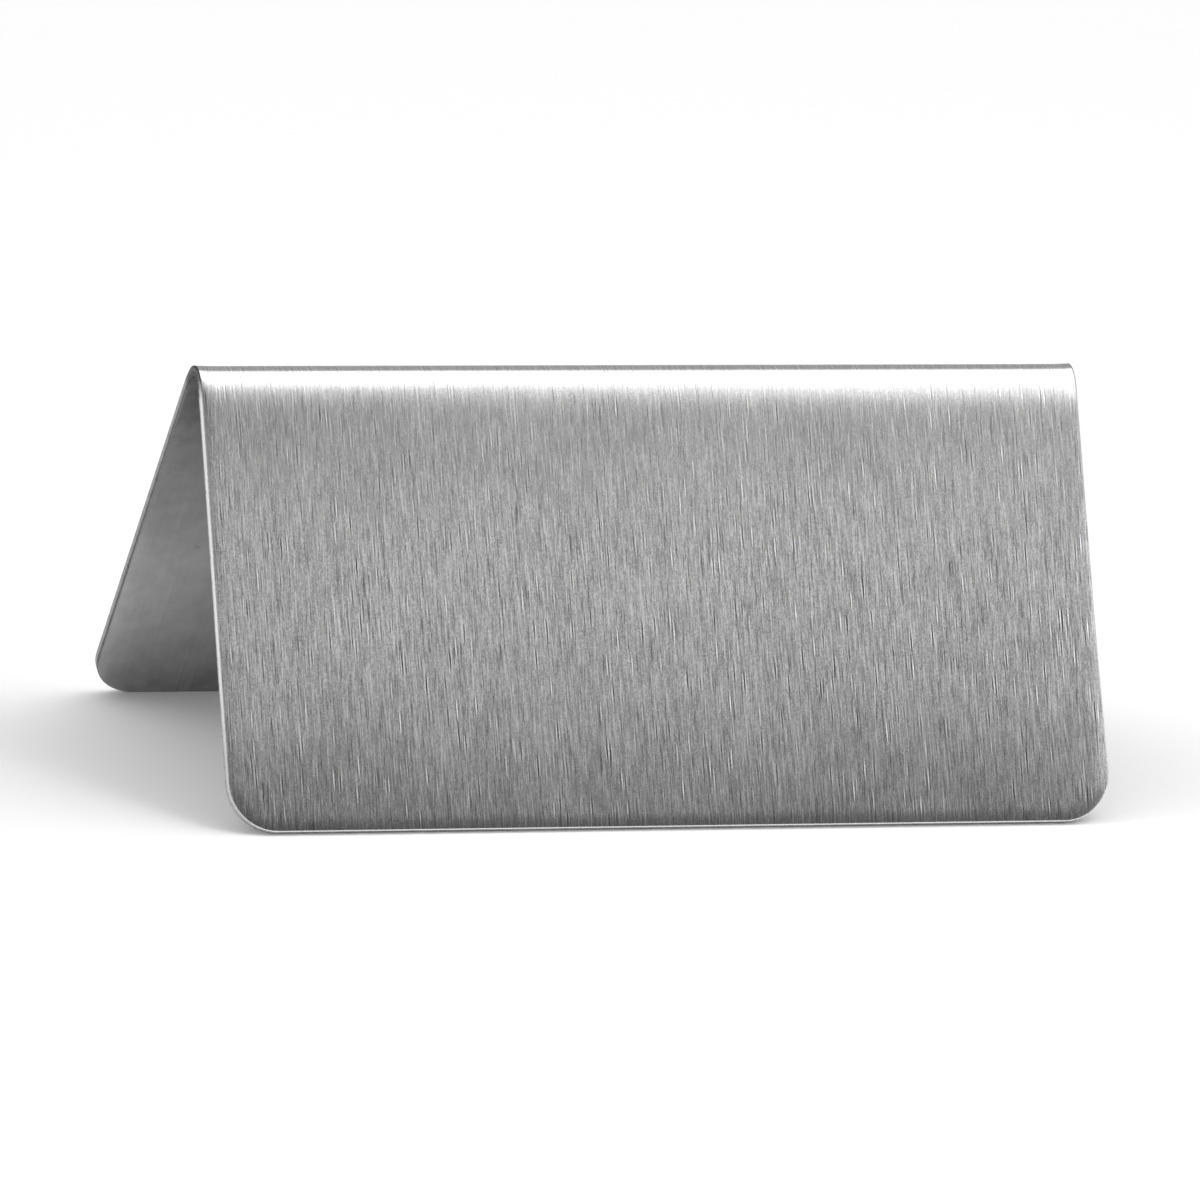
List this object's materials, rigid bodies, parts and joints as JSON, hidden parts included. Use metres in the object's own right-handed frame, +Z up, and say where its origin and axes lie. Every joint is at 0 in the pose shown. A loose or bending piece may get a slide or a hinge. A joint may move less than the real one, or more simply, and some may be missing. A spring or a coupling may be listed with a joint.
{
  "type": "table tent sign",
  "caption": "Free-standing tent sign folded from a square of brushed stainless sheet with rounded corners, with a blank display face on each side of the ridge.",
  "frame": {"origin": "on the table, under the middle of the sign", "axes": "+X along the ridge, -Y out of the front leaf, +Z up"},
  "size_m": [0.0762, 0.0382, 0.0336],
  "materials": {
    "brushed_steel": "brushed across the ridge on the outside, smooth mill finish on the inside, deburred sheared edges"
  },
  "bodies": {
    "root": {"folded_sheet": "brushed_steel"}
  },
  "joints": []
}
